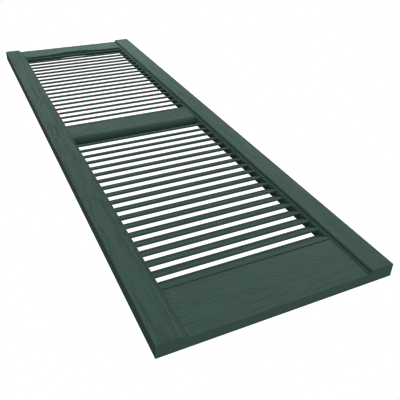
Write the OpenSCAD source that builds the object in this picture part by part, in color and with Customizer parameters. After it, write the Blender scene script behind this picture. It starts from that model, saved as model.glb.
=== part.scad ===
// Open-louvre shutter, moulded in one piece.
// It lies on its back: +Z is the outward face, +Y runs to its top end.
// The origin is the middle of the back plane.

/* [Overall] */
// Height of the shutter, end to end
shutter_l = 1193.8; // [1150:0.1:1400]
// Width over the two stiles at the back rim
shutter_w = 368.3; // [300:0.1:460]
// Thickness over the stile faces
shutter_t = 22.2; // [21:0.1:26]

/* [Stiles] */
// Width of one stile, outer side to louvre opening
stile_w = 45; // [40:0.5:60]
// Width of the rounded edge on the stile's inner side
round_w = 3; // [2:0.1:6]
// Height of the flat bead at the foot of the rounded edge
bead_h = 17.8; // [17.2:0.1:19]
// Distance of the groove along the rounded edge from the louvre opening
outer_groove = 5.9; // [5:0.1:9]
// Distance of the groove on the bead's inner side from the louvre opening
inner_groove = 1.9; // [1.8:0.1:3]
// Depth of the two grooves
bead_groove_d = 0.9; // [0.3:0.1:1.2]

/* [Rails] */
// Height of the rail faces above the back plane
rail_h = 17.1; // [16.5:0.1:17.5]
// Bottom rail, end of the shutter to its groove
bottom_rail_w = 88.8; // [70:0.1:120]
// Mullion between the two louvre panels
mullion_w = 56; // [50:0.1:90]
// Length along Y of the mullion's rounded lower edge
mullion_roll_l = 8; // [3:0.5:12]
// Depth along Z of the mullion's rounded lower edge
mullion_roll_d = 7; // [3:0.5:9]
// Top rail at its shoulders
top_rail_w = 58.8; // [52:0.1:90]
// Rise of the cathedral arch in the top rail
arch_rise = 14.5; // [6:0.5:18]
// Half width of the arch, from its middle to a shoulder
arch_half_w = 100; // [80:1:110]

/* [Louvres] */
// Pitch of the louvres
louvre_pitch = 25; // [22:0.1:28]
// Free louvres in the lower panel
lower_louvres = 18; // [14:1:19]
// Free louvres in the upper panel
upper_louvres = 19; // [14:1:20]
// Slope of the louvres, in degrees
louvre_slope = 22; // [15:1:35]
// Width of a louvre, between the centres of its two rounded edges
louvre_w = 21.9; // [18:0.1:24]
// Radius of the front edge
nose_r = 2.06; // [1.5:0.01:2.5]
// Radius of the back edge
tail_r = 0.77; // [0.5:0.01:1.2]
// Height of the front edge's centre above the back plane
nose_h = 15; // [14:0.1:15.1]
// From a rail's edge to the centre of the first front edge, across the groove
rail_groove_w = 6.5; // [5:0.1:8]
// Depth of the narrow groove beside a rail
rail_groove_d = 1.8; // [1:0.1:2]

/* [Shell] */
// Thickness of the front skin
skin = 2.8; // [2:0.1:3.5]
// Thickness of the walls down to the back rim
wall = 2.8; // [2:0.1:3.5]
// Thickness of the ribs behind the faces
rib = 2; // [1.5:0.1:3]
// How far the ribs stay short of the back plane
rib_setback = 3; // [1:0.5:6]
// Greatest spacing of the ribs along a stile
rib_spacing = 125; // [90:5:200]

/* [Hidden] */

half_w = shutter_w / 2;
opening_x = half_w - stile_w;
outer_groove_x = opening_x + outer_groove;
inner_groove_x = opening_x + inner_groove;
round_x = outer_groove_x + round_w;
groove_half_w = 0.7;
lip_h = rail_h - 0.1;
outer_draft = 0.2;
edge_r = 0.7;
lip_r = 0.6;
end_chamfer = 1;
embed = 1;
cut = 1;

lower_nose_y = bottom_rail_w + rail_groove_w;
head_gap = louvre_pitch + 9.7;
mullion_y = lower_nose_y + lower_louvres * louvre_pitch + head_gap;
mullion_end = mullion_y + mullion_w;
upper_nose_y = mullion_end + rail_groove_w;
shoulder_y = shutter_l - top_rail_w;
groove_floor = rail_h - rail_groove_d;
web_t = 2.4;

// Points along an arc, from angle a0 to a1 in n steps
function arc(c, r, a0, a1, n) =
    [for (i = [0:n]) c + r * [cos(a0 + (a1 - a0) * i / n), sin(a0 + (a1 - a0) * i / n)]];

// Points along a quarter of an oval edge, from a rail's face at its top down to the wall at wall_y
function roll(wall_y, size, n) =
    [for (i = [0:n]) [wall_y + size[0] * (1 - sin(90 * i / n)),
                      rail_h - size[1] * (1 - cos(90 * i / n))]];

// Lower edge of the top rail: two level shoulders and an arch of equal tangent arcs
arch_r = (pow(arch_half_w, 2) + pow(arch_rise, 2)) / (4 * arch_rise);
arch_a = asin(arch_half_w / 2 / arch_r);
function arch_edge(inset) = concat(
    [[-half_w, inset]],
    arc([-arch_half_w, arch_r + inset], arch_r, -90, -90 + arch_a, 6),
    arc([0, arch_rise - arch_r + inset], arch_r, 90 + arch_a, 90 - arch_a, 12),
    arc([arch_half_w, arch_r + inset], arch_r, -90 - arch_a, -90, 6),
    [[half_w, inset]]);

// Cross-section of a stile's outer surface, x to the right and z upwards
function stile_outline() = concat(
    [[opening_x, 0], [half_w, 0]],
    arc([half_w - outer_draft - edge_r, shutter_t - edge_r], edge_r, 0, 90, 5),
    [for (p = arc([0, 0], 1, 90, 170, 6))
        [round_x + p[0] * round_w, bead_h + p[1] * (shutter_t - bead_h)]],
    [[outer_groove_x, bead_h - bead_groove_d],
     [outer_groove_x - groove_half_w, bead_h],
     [inner_groove_x + groove_half_w, bead_h],
     [inner_groove_x, bead_h - bead_groove_d - 0.4],
     [inner_groove_x - groove_half_w, lip_h]],
    arc([opening_x + lip_r, lip_h - lip_r], lip_r, 90, 180, 4));

// Cross-section of the hollow behind a stile
function stile_hollow() = [
    [opening_x + wall, -cut],
    [half_w - outer_draft - wall, -cut],
    [half_w - outer_draft - wall, shutter_t - skin],
    [round_x + 1.2, shutter_t - skin],
    [outer_groove_x + 2.5, bead_h - skin],
    [opening_x + wall, bead_h - skin]];

// Cross-section of one louvre about the centre of its front edge, y to the right and z upwards
tail = louvre_w * [cos(louvre_slope), -sin(louvre_slope)];
louvre_taper = asin((nose_r - tail_r) / louvre_w);
upper_normal = 90 - louvre_slope - louvre_taper;
lower_normal = -90 - louvre_slope + louvre_taper;
louvre_outline = concat(
    arc([0, 0], nose_r, upper_normal, lower_normal + 360, 10),
    arc(tail, tail_r, lower_normal, upper_normal, 5));

// Extrudes a section drawn in y and z across the shutter, from x0 to x1
module across(x0, x1) {
    translate([x0, 0, 0]) rotate([90, 0, 90]) linear_extrude(x1 - x0) children();
}

// Extrudes a section drawn in x and z along the shutter, from y0 to y1
module along(y0, y1) {
    translate([0, y1, 0]) rotate([90, 0, 0]) linear_extrude(y1 - y0) children();
}

module both_sides() {
    children();
    mirror([1, 0, 0]) children();
}

// One stile: an open-backed channel, closed at its two ends and ribbed
module stile() {
    difference() {
        along(0, shutter_l) polygon(stile_outline());
        along(wall, shutter_l - wall) polygon(stile_hollow());
    }
    bays = ceil(shutter_l / rib_spacing);
    for (i = [1:bays - 1])
        translate([opening_x + wall / 2, i * shutter_l / bays - rib / 2, rib_setback])
            cube([stile_w - wall, rib, bead_h - skin / 2 - rib_setback]);
}

// The narrow groove beside a rail and the land from it up to the first louvre's front edge
module groove_web(edge_y) {
    nose_top = nose_h + nose_r;
    across(-opening_x - embed, opening_x + embed) translate([edge_y, 0]) polygon([
        [-wall, groove_floor - web_t], [rail_groove_w, groove_floor - web_t],
        [rail_groove_w, nose_top], [3.7, nose_top - 0.45], [3.1, nose_top - 0.75],
        [2.5, groove_floor], [-wall, groove_floor]]);
}

// Ribs along Y behind a rail's face; the first end steps down by corner under a rounded edge
module rail_ribs(y0, y1, corner = 0) {
    for (x = [-opening_x / 2, 0, opening_x / 2])
        translate([x - rib / 2, 0, 0]) rotate([90, 0, 90]) linear_extrude(rib) polygon([
            [y0, rib_setback], [y1, rib_setback], [y1, rail_h - skin / 2],
            [y0 + corner, rail_h - skin / 2], [y0, rail_h - skin / 2 - corner]]);
}

module bottom_rail() {
    difference() {
        across(-opening_x - embed, opening_x + embed) polygon([
            [0, 0], [bottom_rail_w, 0],
            [bottom_rail_w, rail_h - end_chamfer], [bottom_rail_w - end_chamfer, rail_h],
            [end_chamfer, rail_h], [0, rail_h - end_chamfer]]);
        translate([-opening_x, wall, -cut])
            cube([2 * opening_x, bottom_rail_w - 2 * wall, rail_h - skin + cut]);
    }
    groove_web(bottom_rail_w);
    rail_ribs(wall / 2, bottom_rail_w - wall / 2);
}

module mullion() {
    roof = rail_h - skin;
    difference() {
        across(-opening_x - embed, opening_x + embed) polygon(concat(
            [[mullion_y, 0], [mullion_end, 0],
             [mullion_end, rail_h - end_chamfer], [mullion_end - end_chamfer, rail_h]],
            roll(mullion_y, [mullion_roll_l, mullion_roll_d], 8)));
        across(-opening_x, opening_x) polygon([
            [mullion_y + wall, -cut], [mullion_end - wall, -cut], [mullion_end - wall, roof],
            [mullion_y + wall + mullion_roll_l, roof],
            [mullion_y + wall, rail_h - mullion_roll_d]]);
    }
    groove_web(mullion_end);
    rail_ribs(mullion_y + wall / 2, mullion_end - wall / 2, mullion_roll_d);
}

// Everything above the arched edge, moved up the shutter by inset
module above_arch(inset) {
    translate([0, shoulder_y, -2 * cut]) linear_extrude(shutter_t + 4 * cut)
        polygon(concat(arch_edge(inset), [[half_w, shutter_w], [-half_w, shutter_w]]));
}

module top_rail() {
    difference() {
        intersection() {
            above_arch(0);
            across(-opening_x - embed, opening_x + embed) polygon([
                [0, 0], [shutter_l, 0], [shutter_l, rail_h - end_chamfer],
                [shutter_l - end_chamfer, rail_h], [0, rail_h]]);
        }
        intersection() {
            above_arch(wall);
            translate([-opening_x, 0, -cut])
                cube([2 * opening_x, shutter_l - wall, rail_h - skin + cut]);
        }
    }
    intersection() {
        above_arch(wall / 2);
        rail_ribs(shoulder_y, shutter_l - wall / 2);
    }
}

module louvre() {
    across(-opening_x - embed, opening_x + embed) polygon(louvre_outline);
}

// A panel of louvres: the first one springs from the rail below it
module louvre_panel(first_y, count) {
    for (i = [0:count])
        translate([0, first_y + i * louvre_pitch, nose_h]) louvre();
}

module shutter() {
    color("#445a50") translate([0, -shutter_l / 2, 0]) {
        both_sides() stile();
        bottom_rail();
        mullion();
        top_rail();
        louvre_panel(lower_nose_y, lower_louvres);
        difference() {
            louvre_panel(upper_nose_y, upper_louvres);
            above_arch(wall / 2);
        }
    }
}

shutter();
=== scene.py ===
"""Open-louvre exterior shutter, one moulded piece, lying on its back on a plain white floor.

The frame gives the overall box. Everything else follows from the dimensions below, in millimetres
from the middle of the bottom end: x to the right, y up the shutter, z out of the front face.
The moulding is built as closed bodies with embossed grain in their vertices, then joined by
booleans into one watertight mesh.
"""
import math

import bpy
import numpy as np
from mathutils import Matrix, Vector


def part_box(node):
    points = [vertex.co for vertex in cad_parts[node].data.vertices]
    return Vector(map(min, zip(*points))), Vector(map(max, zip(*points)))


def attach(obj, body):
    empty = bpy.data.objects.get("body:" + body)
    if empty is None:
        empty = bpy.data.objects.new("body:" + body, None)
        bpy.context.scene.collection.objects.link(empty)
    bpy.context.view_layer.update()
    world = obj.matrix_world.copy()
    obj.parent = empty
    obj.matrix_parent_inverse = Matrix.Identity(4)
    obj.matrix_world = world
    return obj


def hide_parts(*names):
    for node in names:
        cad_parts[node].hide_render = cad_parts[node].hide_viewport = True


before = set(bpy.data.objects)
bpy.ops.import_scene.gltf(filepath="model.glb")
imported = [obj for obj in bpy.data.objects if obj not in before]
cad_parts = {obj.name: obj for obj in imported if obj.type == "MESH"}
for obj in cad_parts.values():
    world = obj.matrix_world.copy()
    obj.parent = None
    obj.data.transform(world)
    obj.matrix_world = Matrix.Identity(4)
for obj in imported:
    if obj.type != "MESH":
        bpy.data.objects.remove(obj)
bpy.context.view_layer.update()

MM = 0.001

# ---------------------------------------------------------------- dimensions, mm
low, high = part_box("shutter")
LENGTH = (high[1] - low[1]) / MM
HALF_W = (high[0] - low[0]) / 2 / MM
THICK = (high[2] - low[2]) / MM

STILE_W = 45.0
OUTER_DRAFT = 0.2           # how far the outer side leans in at the face
OPEN_X = HALF_W - STILE_W   # edge of the louvre opening
BEAD_H = 17.8               # the flat bead between the two grooves
BEAD_GROOVE_D = 0.9
OUTER_GROOVE_X = OPEN_X + 5.9
INNER_GROOVE_X = OPEN_X + 1.9
INNER_GROOVE_EXTRA = 0.4    # what the inner groove has beyond that depth
ROUND_W = 3.0               # of the rounded edge beyond the outer groove
ROUND_X = OUTER_GROOVE_X + ROUND_W

RAIL_H = 17.1
LIP_H = RAIL_H - 0.1        # the stile's edge beside the louvres
LIP_R = 0.6
BOTTOM_RAIL_W = 88.8
MULLION_W = 56.0
TOP_RAIL_W = 58.8           # at the shoulders of its arch
RAIL_GROOVE_W = 6.5         # from a rail to the centre of the first louvre's front edge
RAIL_GROOVE_D = 1.8
WEB = 2.4                   # thickness under the groove beside a rail
MULLION_ROLL = (8.0, 7.0)   # length along y and depth along z of the rounded lower edge
ARCH_RISE = 14.5
ARCH_HALF_W = 100.0
ARCH_ROLL = (1.0, 1.0)      # the same two sizes for the top rail's arched edge

PITCH = 25.0
LOWER_LOUVRES = 18          # free ones, besides the one that springs from the rail
UPPER_LOUVRES = 19
HEAD_GAP = PITCH + 9.7      # from the last lower louvre's front edge to the mullion
SLOPE = math.radians(22)
LOUVRE_W = 21.9             # between the centres of the two rounded edges
NOSE_R = 2.06
TAIL_R = 0.77
NOSE_H = 15.0               # centre of the front edge above the back plane
LOUVRE_MIDDLE = 8.0         # roughly, along y from its front edge

SKIN = 2.8
WALL = 2.8
RIB = 2.0
RIB_SETBACK = 3.0           # how far the ribs stay short of the back plane
RIB_SPACING = 125.0

EDGE_R = 0.7                # outer long edges of the stiles
END_R = 1.3                 # edges between the faces and the two ends
SMALL_R = 0.8               # other edges
GRAIN_DEPTH = 0.28          # of the embossing on the stiles and rails
LOUVRE_GRAIN_DEPTH = 0.18
GRAIN_STEP = 0.75           # spacing of the mesh across the grain
EMBED = 1.0                 # how far louvres and rails run into the stile walls
CUT = 1.0                   # how far cutters run past what they cut

LOWER_NOSE_Y = BOTTOM_RAIL_W + RAIL_GROOVE_W
MULLION_Y = LOWER_NOSE_Y + LOWER_LOUVRES * PITCH + HEAD_GAP
MULLION_END = MULLION_Y + MULLION_W
UPPER_NOSE_Y = MULLION_END + RAIL_GROOVE_W
SHOULDER_Y = LENGTH - TOP_RAIL_W


# ---------------------------------------------------------------- grain height fields
def lattice_noise(u, v, seed):
    """Smooth noise between -1 and 1 on arrays u and v, one lattice cell per unit."""
    iu, iv = np.floor(u).astype(np.int64), np.floor(v).astype(np.int64)
    fu, fv = u - iu, v - iv
    su, sv = fu * fu * (3 - 2 * fu), fv * fv * (3 - 2 * fv)

    def corner(a, b):
        h = (a * 374761393 + b * 668265263 + seed * 1442695041) & 0xFFFFFFFF
        h = ((h ^ (h >> 13)) * 1274126177) & 0xFFFFFFFF
        return ((h ^ (h >> 16)) & 0xFFFF) / 32767.5 - 1

    near = corner(iu, iv) * (1 - su) + corner(iu + 1, iv) * su
    far = corner(iu, iv + 1) * (1 - su) + corner(iu + 1, iv + 1) * su
    return near * (1 - sv) + far * sv


def smooth(t):
    t = np.clip(t, 0, 1)
    return t * t * (3 - 2 * t)


def wood_grain(along, across, seed, apex=(0.0, 0.0), tilt=0.0, opening=2.0, ring=6.0):
    """How deep the embossed grain is, 0 on the surface to 1 in the deepest valleys: nested arches
    like those of a flat-sawn board, with straight fibre between them. The arches point along an
    axis through the apex, tilted from the member's own direction, and open by twice opening."""
    u, v = along - apex[0], across - apex[1]
    # the lines wander, broadly and then finely
    v = v + 5.0 * lattice_noise(along / 150, across / 60, seed)
    v = v + 1.6 * lattice_noise(along / 38, across / 14, seed + 1)
    c, s = math.cos(math.radians(tilt)), math.sin(math.radians(tilt))
    u, v = u * c + v * s, v * c - u * s
    rings = (np.sqrt(v ** 2 + 36) + u * math.tan(math.radians(opening))) / ring
    rings = rings + 0.30 * lattice_noise(along / 45, across / 6, seed + 2)
    # across each ring the surface sinks slowly, then drops into a narrow valley
    t = rings - np.floor(rings)
    valley = np.exp(-((t - 0.70) / 0.13) ** 2) + 0.5 * smooth(t / 0.62) * (t < 0.70)
    strength = np.clip(0.62 + 0.65 * lattice_noise(along / 34, across / 7, seed + 3), 0.1, 1)
    fibre = smooth(0.5 + 0.9 * lattice_noise(along / 16, across / 1.5, seed + 4))
    fibre_mask = smooth(0.45 + 0.8 * lattice_noise(along / 55, across / 8, seed + 5))
    return np.clip(0.85 * valley * strength + 0.4 * fibre * fibre_mask, 0, 1)


def streaks(along, across, length, width, seed):
    """Soft lengthwise streaks, 0 to 1, that wander a little from side to side."""
    drift = 2.4 * lattice_noise(along / 60, across / 30, seed)
    broad = lattice_noise(along / length, (across + drift) / width, seed + 1)
    fine = lattice_noise(along / (0.35 * length), (across + drift) / (0.3 * width), seed + 2)
    dashes = lattice_noise(along / 11, (across + drift) / 1.5, seed + 3)
    return smooth(0.42 + 0.65 * broad + 0.40 * fine + 0.45 * dashes)


def stile_grain(x, y):
    """Grain along a stile; the two stiles have different boards, the left one the stronger."""
    right = wood_grain(y, x, 3, apex=(820.0, 160.0), tilt=-0.6, opening=1.5, ring=5.6)
    left = wood_grain(y, x, 7, apex=(LENGTH - 330.0, -163.0), tilt=0.5, opening=-1.7, ring=5.2)
    # both gain strength up the shutter
    far = smooth((y - 100) / 500)
    right = (0.45 + 0.3 * far) * right + 0.30 * streaks(y, x, 80, 5.0, 83) - 0.07
    left = (0.35 + 0.3 * far) * left + 0.72 * streaks(y, x, 70, 7.0, 91) - 0.20
    # one soft band sunk along the left stile
    left = left + 0.20 * np.clip(1 - np.abs(x + 154) / 7, 0, 1)
    return np.clip(np.where(x > 0, right, left), 0, 1)


def bottom_grain(x, y):
    return 0.64 * wood_grain(x, y, 11, apex=(112.0, 5.0), tilt=-11, opening=14, ring=6.8)


def mullion_grain(x, y):
    return wood_grain(x, y, 23, apex=(-60.0, MULLION_Y + 30), tilt=3, opening=-5, ring=6.0)


def top_grain(x, y):
    return wood_grain(x, y, 37, apex=(40.0, SHOULDER_Y + 36), tilt=2, opening=6, ring=6.4)


def louvre_grain(x, y, seed):
    return wood_grain(x, y, seed, apex=(0.0, 400.0), tilt=0, opening=2.5, ring=3.6)


# ---------------------------------------------------------------- mesh helpers
def arc(cx, cz, r, a0, a1, steps):
    """Points on an arc, angles in degrees, both ends included."""
    angles = np.radians(np.linspace(a0, a1, steps + 1))
    return [(cx + r * math.cos(a), cz + r * math.sin(a)) for a in angles]


def roll(wall_y, size, steps):
    """A rounded edge from the rail's face down to its wall, a quarter of an ellipse."""
    length, depth = size
    turns = [math.radians(90 * i / steps) for i in range(steps + 1)]
    return [(wall_y + length * (1 - math.sin(t)), RAIL_H - depth * (1 - math.cos(t)))
            for t in turns]


def line(p, q, step):
    """Points from p to q, both left out, about one step apart."""
    count = max(1, round(math.dist(p, q) / step))
    return [(p[0] + (q[0] - p[0]) * i / count, p[1] + (q[1] - p[1]) * i / count)
            for i in range(1, count)]


def spaced(start, end, step, end_rings=()):
    """Stations from start to end about one step apart, with extra ones near both ends."""
    count = max(1, math.ceil((end - start) / step))
    values = set(np.round(np.linspace(start, end, count + 1), 4))
    for d in end_rings:
        values |= {round(start + d, 4), round(end - d, 4)}
    return np.array(sorted(values))


def swept(rings):
    """A closed body from rings of points, an array of stations by points by three."""
    stations, points = rings.shape[:2]
    faces = []
    for i in range(stations - 1):
        a, b = i * points, (i + 1) * points
        for j in range(points):
            k = (j + 1) % points
            faces.append((a + j, a + k, b + k, b + j))
    faces.append(tuple(range(points - 1, -1, -1)))
    faces.append(tuple((stations - 1) * points + j for j in range(points)))
    return rings.reshape(-1, 3), faces


def block(x0, x1, y0, y1, z0, z1):
    """A plain box as a swept body, used only for cutters and ribs."""
    ring = [(y0, z0), (y1, z0), (y1, z1), (y0, z1)]
    return swept(np.array([[(x, y, z) for y, z in ring] for x in (x0, x1)]))


def mirrored(body):
    points, faces = body
    return points * np.array([-1, 1, 1]), [tuple(reversed(f)) for f in faces]


def to_object(name, bodies):
    """One mesh object, in metres in the frame's own place, from several bodies in mm."""
    points, faces, base = [], [], 0
    for body_points, body_faces in bodies:
        points.append(body_points)
        faces += [tuple(base + i for i in f) for f in body_faces]
        base += len(body_points)
    points = np.concatenate(points)
    points = (points - np.array([0, LENGTH / 2, 0])) * MM
    mesh = bpy.data.meshes.new(name)
    mesh.from_pydata(points.tolist(), [], faces)
    mesh.validate()
    obj = bpy.data.objects.new(name, mesh)
    bpy.context.scene.collection.objects.link(obj)
    return obj


def combine(target, tool, operation):
    """Joins or cuts target with tool, and throws the tool away."""
    modifier = target.modifiers.new(operation.lower(), "BOOLEAN")
    modifier.operation = operation
    modifier.solver = "MANIFOLD"
    modifier.object = tool
    bake_modifiers(target)
    bpy.data.objects.remove(tool, do_unlink=True)


def bake_modifiers(obj):
    graph = bpy.context.evaluated_depsgraph_get()
    graph.update()
    mesh = bpy.data.meshes.new_from_object(obj.evaluated_get(graph))
    old = obj.data
    obj.modifiers.clear()
    obj.data = mesh
    bpy.data.meshes.remove(old)


# ---------------------------------------------------------------- stiles
def stile_section():
    """Outline in x and z with, for each point, how much of the grain it takes."""
    top_x = HALF_W - OUTER_DRAFT - EDGE_R
    outline = [(OPEN_X, 0, 0), (HALF_W, 0, 0), (HALF_W - OUTER_DRAFT / 2, THICK / 2, 0)]
    outline += [(x, z, 0) for x, z in arc(top_x, THICK - EDGE_R, EDGE_R, 0, 90, 5)]
    face = line((top_x, THICK), (ROUND_X, THICK), GRAIN_STEP)
    outline += [(x, z, min(1, (top_x - x) / 2)) for x, z in face]
    outline += [(ROUND_X + (x - ROUND_X) * ROUND_W / (THICK - BEAD_H), z, 0.4) for x, z in
                arc(ROUND_X, BEAD_H, THICK - BEAD_H, 90, 172, 10)]
    # the grooves, as offsets from their places: blunt floors and slightly eased lips
    floor = BEAD_H - BEAD_GROOVE_D
    outline += [(OUTER_GROOVE_X + dx, z, 0) for dx, z in
                ((0.1, floor + 0.2), (-0.3, floor + 0.2), (-0.7, BEAD_H - 0.1), (-1.1, BEAD_H))]
    outline += [(x, z, 0.3) for x, z in
                line((OUTER_GROOVE_X - 1.1, BEAD_H), (INNER_GROOVE_X + 1.0, BEAD_H), 1.0)]
    floor -= INNER_GROOVE_EXTRA
    outline += [(INNER_GROOVE_X + dx, z, 0) for dx, z in
                ((1.0, BEAD_H), (0.6, BEAD_H - 0.1), (0.3, floor), (-0.3, floor),
                 (-0.5, LIP_H - 0.1), (-0.7, LIP_H))]
    outline += [(x, z, 0) for x, z in arc(OPEN_X + LIP_R, LIP_H - LIP_R, LIP_R, 90, 180, 4)]
    return np.array(outline)


def end_drop(distance, radius):
    """How far a face lies below its full height at this distance from a rounded end."""
    d = np.clip(radius - distance, 0, radius)
    return radius - np.sqrt(radius ** 2 - d ** 2)


def stile(side):
    """The right stile for side 1, the left one for side -1, its top rounded down at both ends."""
    section = stile_section()
    stations = spaced(0, LENGTH, 6, [END_R * (1 - math.cos(math.radians(a)))
                                     for a in (22, 45, 68, 90)])
    y, x = np.meshgrid(stations, section[:, 0], indexing="ij")
    z = np.broadcast_to(section[:, 1], y.shape).copy()
    take = np.broadcast_to(section[:, 2], y.shape)
    to_end = np.minimum(y, LENGTH - y)
    drop = end_drop(to_end, END_R)
    raised = z > BEAD_H - BEAD_GROOVE_D - 1.5
    z[raised] -= drop[raised]
    fade = smooth(to_end / 4)
    z -= GRAIN_DEPTH * stile_grain(side * x, y) * take * fade
    body = swept(np.stack([x, y, z], axis=-1)[:, ::-1])
    return body if side > 0 else mirrored(body)


# ---------------------------------------------------------------- rails
def rail_stations():
    return spaced(-OPEN_X - EMBED, OPEN_X + EMBED, 4)


def cathedral(x):
    """Height of the arch above the top rail's shoulders: equal tangent arcs up and down."""
    r = (ARCH_HALF_W ** 2 + ARCH_RISE ** 2) / (4 * ARCH_RISE)
    d = np.abs(x)
    crown = ARCH_RISE - r + np.sqrt(np.maximum(r ** 2 - d ** 2, 0))
    flank = r - np.sqrt(np.maximum(r ** 2 - (ARCH_HALF_W - d) ** 2, 0))
    return np.where(d < ARCH_HALF_W / 2, crown, np.where(d < ARCH_HALF_W, flank, 0))


def rail(outline, grain, arch=None):
    """A rail swept across the shutter. outline has y, z, the share of grain and the share of
    the arch for each point."""
    outline = np.array(outline)
    x, y = np.meshgrid(rail_stations(), outline[:, 0], indexing="ij")
    z = np.broadcast_to(outline[:, 1], y.shape).copy()
    if arch is not None:
        y = y + arch(x) * outline[:, 3]
    side = smooth((OPEN_X - np.abs(x)) / 3)
    z -= GRAIN_DEPTH * grain(x, y) * outline[:, 2] * side
    return swept(np.stack([x, y, z], axis=-1))


def face_points(y0, y1):
    """Grained points across a rail's face."""
    points = line((y0, RAIL_H), (y1, RAIL_H), GRAIN_STEP)
    return [(y, z, min(1, (y - y0) / 2, (y1 - y) / 2)) for y, z in points]


def bottom_rail():
    end = arc(END_R, RAIL_H - END_R, END_R, 90, 180, 5)
    lip = arc(BOTTOM_RAIL_W - SMALL_R, RAIL_H - SMALL_R, SMALL_R, 0, 90, 4)
    outline = [(0, 0, 0, 0), (BOTTOM_RAIL_W, 0, 0, 0)] + [(y, z, 0, 0) for y, z in lip]
    face = face_points(END_R, BOTTOM_RAIL_W - SMALL_R)
    outline += [(y, z, g, 0) for y, z, g in reversed(face)]
    outline += [(y, z, 0, 0) for y, z in end]
    return rail(outline, bottom_grain)


def mullion():
    lip = arc(MULLION_END - SMALL_R, RAIL_H - SMALL_R, SMALL_R, 0, 90, 4)
    outline = [(MULLION_Y, 0, 0, 0), (MULLION_END, 0, 0, 0)]
    outline += [(y, z, 0, 0) for y, z in lip]
    face = face_points(MULLION_Y + MULLION_ROLL[0], MULLION_END - SMALL_R)
    outline += [(y, z, g, 0) for y, z, g in reversed(face)]
    outline += [(y, z, 0, 0) for y, z in roll(MULLION_Y, MULLION_ROLL, 12)]
    return rail(outline, mullion_grain)


def top_rail():
    end = arc(LENGTH - END_R, RAIL_H - END_R, END_R, 0, 90, 5)
    outline = [(SHOULDER_Y, 0, 0, 1), (LENGTH, 0, 0, 0)]
    outline += [(y, z, 0, 0) for y, z in end]
    y0, y1 = SHOULDER_Y + ARCH_ROLL[0], LENGTH - END_R
    face = face_points(y0, y1)
    outline += [(y, z, g, (y1 - y) / (y1 - y0)) for y, z, g in reversed(face)]
    outline += [(y, z, 0, 1) for y, z in roll(SHOULDER_Y, ARCH_ROLL, 10)]
    return rail(outline, top_grain, arch=cathedral)


# ---------------------------------------------------------------- louvres
def louvre_section():
    """Outline in y and z about the centre of the front edge, with each point's share of grain."""
    tail = (LOUVRE_W * math.cos(SLOPE), -LOUVRE_W * math.sin(SLOPE))
    taper = math.degrees(math.asin((NOSE_R - TAIL_R) / LOUVRE_W))
    up = 90 - math.degrees(SLOPE) - taper
    down = -90 - math.degrees(SLOPE) + taper
    nose = arc(0, 0, NOSE_R, up, down + 360, 12)
    back = arc(*tail, TAIL_R, down, up, 4)
    outline = [(y, z, 0.5 if z > 0.8 else 0) for y, z in nose]
    outline += [(y, z, 0) for y, z in line(nose[-1], back[0], 5.5)]
    outline += [(y, z, 0) for y, z in back]
    outline += [(y, z, 1) for y, z in line(back[-1], nose[0], 1.8)]
    return np.array(outline)


def louvre(nose_y, seed):
    section = louvre_section()
    stations = spaced(-OPEN_X - EMBED, OPEN_X + EMBED, 11)
    x, y = np.meshgrid(stations, section[:, 0] + nose_y, indexing="ij")
    z = np.broadcast_to(section[:, 1] + NOSE_H, y.shape).copy()
    z -= LOUVRE_GRAIN_DEPTH * louvre_grain(x, y, seed) * section[:, 2]
    return swept(np.stack([x, y, z], axis=-1))


def louvre_seed(nose_y):
    return 100 + 7 * round(nose_y / PITCH)


def louvre_noses():
    lower = [LOWER_NOSE_Y + i * PITCH for i in range(LOWER_LOUVRES + 1)]
    upper = [UPPER_NOSE_Y + i * PITCH for i in range(UPPER_LOUVRES + 1)]
    return lower, upper


# ---------------------------------------------------------------- the hollow back
def hollows():
    """What is taken out from behind: a channel in each stile and a tray in each rail."""
    stile_ring = [(OPEN_X + WALL, -CUT), (HALF_W - OUTER_DRAFT - WALL, -CUT),
                  (HALF_W - OUTER_DRAFT - WALL, THICK - SKIN), (ROUND_X + 1.2, THICK - SKIN),
                  (OUTER_GROOVE_X + 2.5, BEAD_H - SKIN), (OPEN_X + WALL, BEAD_H - SKIN)]
    channel = swept(np.array([[(x, y, z) for x, z in reversed(stile_ring)]
                              for y in (WALL, LENGTH - WALL)]))
    roof = RAIL_H - SKIN
    start = SHOULDER_Y + WALL
    tray_ring = [(start, -CUT, 1), (LENGTH - WALL, -CUT, 0),
                 (LENGTH - WALL, roof, 0), (start + ARCH_ROLL[0], roof, 1),
                 (start, roof - ARCH_ROLL[1], 1)]
    stations = spaced(-OPEN_X, OPEN_X, 9)
    arched = swept(np.array([[(x, y + float(cathedral(x)) * share, z)
                              for y, z, share in tray_ring] for x in stations]))
    start, back = MULLION_Y + WALL, MULLION_END - WALL
    length, depth = MULLION_ROLL
    mullion_ring = [(back, roof), (back, -CUT), (start, -CUT), (start, roof - depth),
                    (start + length / 3, roof - depth / 3), (start + length, roof)]
    mullion_tray = swept(np.array([[(x, y, z) for y, z in mullion_ring]
                                   for x in (OPEN_X, -OPEN_X)]))
    return [channel, mirrored(channel),
            block(-OPEN_X, OPEN_X, WALL, BOTTOM_RAIL_W - WALL, -CUT, roof),
            mullion_tray,
            arched]


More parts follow.
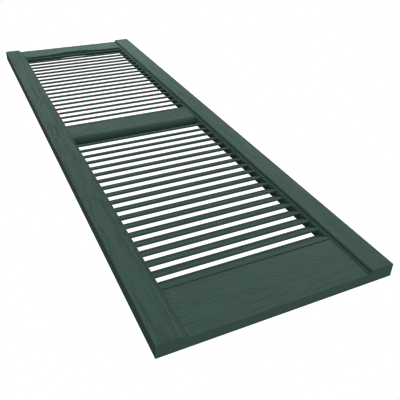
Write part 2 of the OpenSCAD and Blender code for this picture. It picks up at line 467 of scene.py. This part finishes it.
def ribs():
    """Stiffening ribs across the stile channels and up the rail trays."""
    made = []
    bays = math.ceil(LENGTH / RIB_SPACING)
    for i in range(1, bays):
        y = i * LENGTH / bays
        bar = block(OPEN_X + WALL / 2, HALF_W - WALL / 2, y - RIB / 2, y + RIB / 2,
                    RIB_SETBACK, BEAD_H - SKIN / 2)
        made += [bar, mirrored(bar)]
    columns = (-OPEN_X / 2, 0, OPEN_X / 2)
    low_trays = [(WALL / 2, BOTTOM_RAIL_W - WALL / 2),
                 (MULLION_Y + WALL / 2, MULLION_END - WALL / 2)]
    for y0, y1 in low_trays:
        for x in columns:
            made.append(block(x - RIB / 2, x + RIB / 2, y0, y1,
                              RIB_SETBACK, RAIL_H - MULLION_ROLL[1]))
    for x in columns:
        y0 = SHOULDER_Y + float(cathedral(x)) + WALL / 2
        made.append(block(x - RIB / 2, x + RIB / 2, y0, LENGTH - WALL / 2,
                          RIB_SETBACK, RAIL_H - SKIN / 2))
    return made


def groove_webs():
    """The narrow groove beside a rail and the land from it up to the first louvre's front edge."""
    floor = RAIL_H - RAIL_GROOVE_D
    section = [(-WALL, floor - WEB), (RAIL_GROOVE_W, floor - WEB), (RAIL_GROOVE_W, NOSE_H + NOSE_R),
               (3.7, NOSE_H + NOSE_R - 0.45), (3.1, NOSE_H + NOSE_R - 0.75), (2.5, floor),
               (-WALL, floor)]
    return [swept(np.array([[(x, edge + y, z) for y, z in section]
                            for x in (-OPEN_X - EMBED, OPEN_X + EMBED)]))
            for edge in (BOTTOM_RAIL_W, MULLION_END)]


def arch_cutter():
    """Everything beyond the middle of the top rail's wall, to trim the last louvre."""
    start = SHOULDER_Y + WALL / 2
    ring = [(start, -CUT, 1), (start + 90, -CUT, 0), (start + 90, THICK, 0), (start, THICK, 1)]
    stations = spaced(-OPEN_X - 2 * EMBED, OPEN_X + 2 * EMBED, 9)
    return swept(np.array([[(x, y + float(cathedral(x)) * share, z) for y, z, share in ring]
                           for x in stations]))


# ---------------------------------------------------------------- the grain and the painted groove shade as an attribute
def nearest_louvre_grain(x, y):
    """The grain of whichever louvre is nearest to each point."""
    lower, upper = louvre_noses()
    noses = np.array(lower + upper)
    nearest = noses[np.abs((y - LOUVRE_MIDDLE)[:, None] - noses[None, :]).argmin(axis=1)]
    seeds = np.array([louvre_seed(n) for n in nearest])
    value = np.zeros(len(x))
    for seed in np.unique(seeds):
        chosen = seeds == seed
        value[chosen] = louvre_grain(x[chosen], y[chosen], int(seed))
    return value


def grain_and_groove_shade(x, y, z):
    """How deep the grain is at each point, by the member it lies on, with painted shade added in
    the inner groove of the stiles: the groove is given a grain depth of up to 0.7, which darkens it
    more than the light alone would."""
    rail_top = z > RAIL_H - MULLION_ROLL[1]
    in_bottom = (y < BOTTOM_RAIL_W) & rail_top
    in_mullion = (y > MULLION_Y) & (y < MULLION_END) & rail_top
    in_top = (y > SHOULDER_Y + cathedral(x)) & rail_top
    value = nearest_louvre_grain(x, y)
    value = np.where(in_bottom, bottom_grain(x, y), value)
    value = np.where(in_mullion, mullion_grain(x, y), value)
    value = np.where(in_top, top_grain(x, y), value)
    value = np.where(np.abs(x) > OPEN_X, stile_grain(x, y), value)
    # painted shade: the inner groove of each stile is darkened as if it were deep grain
    painted_groove_shade = np.clip(1.5 - np.abs(np.abs(x) - INNER_GROOVE_X) / 0.7, 0, 1) * (z < BEAD_H - 0.2)
    return np.maximum(value, 0.7 * painted_groove_shade)


def paint_grain_and_groove_shade(obj):
    """Writes the depth of the grain, together with the painted shade of the stiles' inner groove,
    at each vertex into an attribute for the material to read. The back and the walls, which aren't
    embossed, stay at zero."""
    mesh = obj.data
    flat = np.empty(len(mesh.vertices) * 3)
    mesh.vertices.foreach_get("co", flat)
    x, y, z = (flat.reshape(-1, 3) / MM + np.array([0, LENGTH / 2, 0])).T
    normals = np.empty(len(mesh.vertices) * 3)
    mesh.vertex_normals.foreach_get("vector", normals)
    facing_up = smooth((normals.reshape(-1, 3)[:, 2] - 0.1) / 0.5)
    outside = z > THICK / 3
    # the attribute named grain also carries the painted shade of the inner groove
    attribute = mesh.attributes.new("grain", "FLOAT", "POINT")
    attribute.data.foreach_set("value", grain_and_groove_shade(x, y, z) * facing_up * outside)


def build_shutter():
    """Joins the members, hollows them from behind, then adds the ribs, webs and louvres."""
    shell = to_object("shutter_moulding", [stile(1), stile(-1)])
    combine(shell, to_object("rails", [bottom_rail(), mullion(), top_rail()]), "UNION")
    combine(shell, to_object("hollows", hollows()), "DIFFERENCE")
    combine(shell, to_object("ribs", ribs()), "UNION")
    combine(shell, to_object("webs", groove_webs()), "UNION")
    lower, upper = louvre_noses()
    blades = to_object("blades", [louvre(y, louvre_seed(y)) for y in lower + upper])
    combine(blades, to_object("arch_cutter", [arch_cutter()]), "DIFFERENCE")
    combine(shell, blades, "UNION")
    paint_grain_and_groove_shade(shell)
    return shell


# ---------------------------------------------------------------- material
BASE_COLOUR = (0.0545, 0.1055, 0.0820)   # linear, before the grain and the drift


class Nodes:
    """A little shorthand for building a node tree."""

    def __init__(self, tree):
        self.tree = tree

    def add(self, kind, links=None, **settings):
        made = self.tree.nodes.new(kind)
        for name, value in settings.items():
            setattr(made, name, value)
        for socket, source in (links or {}).items():
            if isinstance(source, bpy.types.NodeSocket):
                self.tree.links.new(source, made.inputs[socket])
            else:
                made.inputs[socket].default_value = source
        return made

    def math(self, operation, *sources):
        return self.add("ShaderNodeMath", dict(enumerate(sources)), operation=operation).outputs[0]

    def ranged(self, value, from_min, from_max, to_min, to_max):
        return self.add("ShaderNodeMapRange", {
            "Value": value, "From Min": from_min, "From Max": from_max,
            "To Min": to_min, "To Max": to_max}).outputs["Result"]

    def noise(self, vector, scale, detail=3.0, roughness=0.55):
        return self.add("ShaderNodeTexNoise", {
            "Vector": vector, "Scale": scale, "Detail": detail,
            "Roughness": roughness}).outputs["Fac"]


def along_fibre(nodes, place):
    """Coordinates stretched along the fibre: along y on the stiles, along x elsewhere."""
    across_fibre, along = 1.0, 0.035
    split = nodes.add("ShaderNodeSeparateXYZ", {"Vector": place})
    x, y, z = (split.outputs[axis] for axis in "XYZ")
    on_stile = nodes.math("GREATER_THAN", nodes.math("ABSOLUTE", x), OPEN_X * MM)
    lengthwise = nodes.add("ShaderNodeCombineXYZ", {
        "X": nodes.math("MULTIPLY", x, across_fibre), "Y": nodes.math("MULTIPLY", y, along),
        "Z": z})
    crosswise = nodes.add("ShaderNodeCombineXYZ", {
        "X": nodes.math("MULTIPLY", x, along), "Y": nodes.math("MULTIPLY", y, across_fibre),
        "Z": z})
    stretched = nodes.add("ShaderNodeMix", data_type="VECTOR")
    # the vector sockets of a Mix node come after the float ones of the same name
    nodes.tree.links.new(on_stile, stretched.inputs[0])
    nodes.tree.links.new(crosswise.outputs[0], stretched.inputs[4])
    nodes.tree.links.new(lengthwise.outputs[0], stretched.inputs[5])
    return stretched.outputs[1]


def shutter_plastic():
    """Solid green moulded plastic. The embossed valleys are a shade darker, as is the stiles' inner
    groove, where shade is painted in through the same grain attribute; fine fibre runs along each
    member, and the sheen and the tone drift a little over the surface."""
    material = bpy.data.materials.new("shutter_plastic")
    material.use_nodes = True
    tree = material.node_tree
    shader = tree.nodes["Principled BSDF"]
    nodes = Nodes(tree)
    place = nodes.add("ShaderNodeTexCoord").outputs["Object"]
    fibre_place = along_fibre(nodes, place)

    fibre = nodes.noise(fibre_place, 620, detail=4)
    streak = nodes.noise(fibre_place, 150, detail=3)
    mottle = nodes.noise(place, 38, detail=4, roughness=0.6)
    speckle = nodes.noise(place, 900, detail=2)
    # the grain attribute holds the embossed grain and the painted shade of the stiles' inner groove
    grain = nodes.add("ShaderNodeAttribute", attribute_name="grain").outputs["Fac"]

    # tone: one number from the grain with the painted groove shade, the fibre and the slow drift
    tone = nodes.ranged(grain, 0, 1, 1.07, 0.76)
    tone = nodes.math("MULTIPLY", tone, nodes.ranged(streak, 0.3, 0.7, 0.965, 1.035))
    tone = nodes.math("MULTIPLY", tone, nodes.ranged(fibre, 0.3, 0.7, 0.975, 1.025))
    tone = nodes.math("MULTIPLY", tone, nodes.ranged(mottle, 0.3, 0.7, 0.975, 1.025))
    colour = nodes.add("ShaderNodeVectorMath", {0: BASE_COLOUR, "Scale": tone}, operation="SCALE")
    tree.links.new(colour.outputs[0], shader.inputs["Base Color"])

    rough = nodes.math("ADD", nodes.ranged(mottle, 0.3, 0.7, 0.50, 0.58),
                       nodes.ranged(grain, 0, 1, 0.0, 0.10))
    tree.links.new(rough, shader.inputs["Roughness"])

    relief = nodes.math("ADD", nodes.math("MULTIPLY", fibre, 0.6),
                        nodes.math("MULTIPLY", speckle, 0.4))
    bump = nodes.add("ShaderNodeBump", {"Strength": 0.35, "Distance": 0.00012, "Height": relief})
    tree.links.new(bump.outputs[0], shader.inputs["Normal"])
    shader.inputs["Specular IOR Level"].default_value = 0.07
    return material


# ---------------------------------------------------------------- scene
def make_camera():
    """A view up the shutter from beyond its bottom left corner, rolled a little."""
    position = Vector((-0.32276, -0.98555, 0.50122))
    target = Vector((0.01413, -0.30504, 0.0))
    turn = math.radians(1.65)
    data = bpy.data.cameras.new("camera")
    data.sensor_width = 36
    data.lens = 46.28
    data.clip_start = 0.01
    camera = bpy.data.objects.new("camera", data)
    look = (target - position).to_track_quat("-Z", "Y").to_matrix().to_4x4()
    camera.matrix_world = Matrix.Translation(position) @ look @ Matrix.Rotation(turn, 4, "Z")
    bpy.context.scene.collection.objects.link(camera)
    bpy.context.scene.camera = camera


# name, place, what it is aimed at, width and height, watts
LIGHTS = [
    ("front_low", (0.3, -3.0, 0.13), (0, -0.5, 0), (1.6, 0.12), 6.9),
    ("front_mid", (0.3, -3.0, 1.0), (0, -0.4, 0), (1.6, 0.6), 22.4),
    ("left_high", (-1.4, 0.2, 2.4), (0, 0, 0), (2.0, 1.2), 19.2),
    ("right_high", (1.2, 0.4, 1.7), (0.1, 0.2, 0), (1.2, 1.0), 15.4),
    ("right_far", (1.8, 1.6, 0.9), (0.1, 0.5, 0), (1.0, 0.8), 11.6),
    ("back", (0.2, 2.2, 2.2), (0, 0.3, 0), (2.6, 1.2), 10.4),
    ("top_end_left", (0.10, 0.80, 0.30), (0.05, 0.60, 0), (0.4, 0.3), 1.2),
    ("top_end_right", (0.35, 0.55, 0.35), (0.10, 0.50, 0), (0.4, 0.4), 0.4),
]
WORLD_STRENGTH = 0.185
# the tone curve's points, from linear to held back, and the pixel filter's width
TONE_POINTS = [(0.19, 0.18), (0.4, 0.27), (0.6, 0.43), (0.8, 0.67)]
FILTER_WIDTH = 1.1


def make_light(name, location, target, size, energy):
    """A soft rectangular light that the camera doesn't see."""
    data = bpy.data.lights.new(name, "AREA")
    data.shape = "RECTANGLE"
    data.size, data.size_y = size
    data.energy = energy
    light = bpy.data.objects.new(name, data)
    light.location = location
    light.visible_camera = False
    light.rotation_mode = "QUATERNION"
    direction = Vector(target) - Vector(location)
    light.rotation_quaternion = direction.to_track_quat("-Z", "Y")
    bpy.context.scene.collection.objects.link(light)


def make_world():
    """A plain dim surround, which keeps the shadows open."""
    world = bpy.data.worlds.new("studio")
    bpy.context.scene.world = world
    world.use_nodes = True
    background = world.node_tree.nodes["Background"]
    background.inputs["Color"].default_value = (1, 1, 1, 1)
    background.inputs["Strength"].default_value = WORLD_STRENGTH


def make_floor():
    """A floor of even white, a hair below the back plane, that neither takes the shutter's
    shadow nor throws light back on it."""
    bpy.ops.mesh.primitive_plane_add(size=40, location=(0, 0, -0.0002))
    floor = bpy.context.object
    floor.name = "floor"
    material = bpy.data.materials.new("floor_white")
    material.use_nodes = True
    shader = material.node_tree.nodes["Principled BSDF"]
    shader.inputs["Base Color"].default_value = (0, 0, 0, 1)
    shader.inputs["Roughness"].default_value = 1.0
    shader.inputs["Specular IOR Level"].default_value = 0.0
    shader.inputs["Emission Color"].default_value = (1, 1, 1, 1)
    shader.inputs["Emission Strength"].default_value = 1.0
    floor.data.materials.append(material)
    floor.visible_diffuse = False
    floor.visible_glossy = False


def set_tone():
    """Plain sRGB output with the tones between the object's own and white held back, and a
    narrow pixel filter, so that an edge against the white floor keeps its weight."""
    bpy.context.scene.cycles.filter_width = FILTER_WIDTH
    view = bpy.context.scene.view_settings
    view.view_transform = "Standard"
    view.use_curve_mapping = True
    curve = view.curve_mapping.curves[3]
    for linear, held in TONE_POINTS:
        curve.points.new(linear, held)
    for point in curve.points:
        point.handle_type = "VECTOR"
    view.curve_mapping.update()


shutter = build_shutter()
shutter.data.materials.clear()
shutter.data.materials.append(shutter_plastic())
shutter.data.shade_smooth()
shutter.data.set_sharp_from_angle(angle=math.radians(32))
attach(shutter, "root")
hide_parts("shutter")

make_camera()
for light in LIGHTS:
    make_light(*light)
make_world()
make_floor()
set_tone()
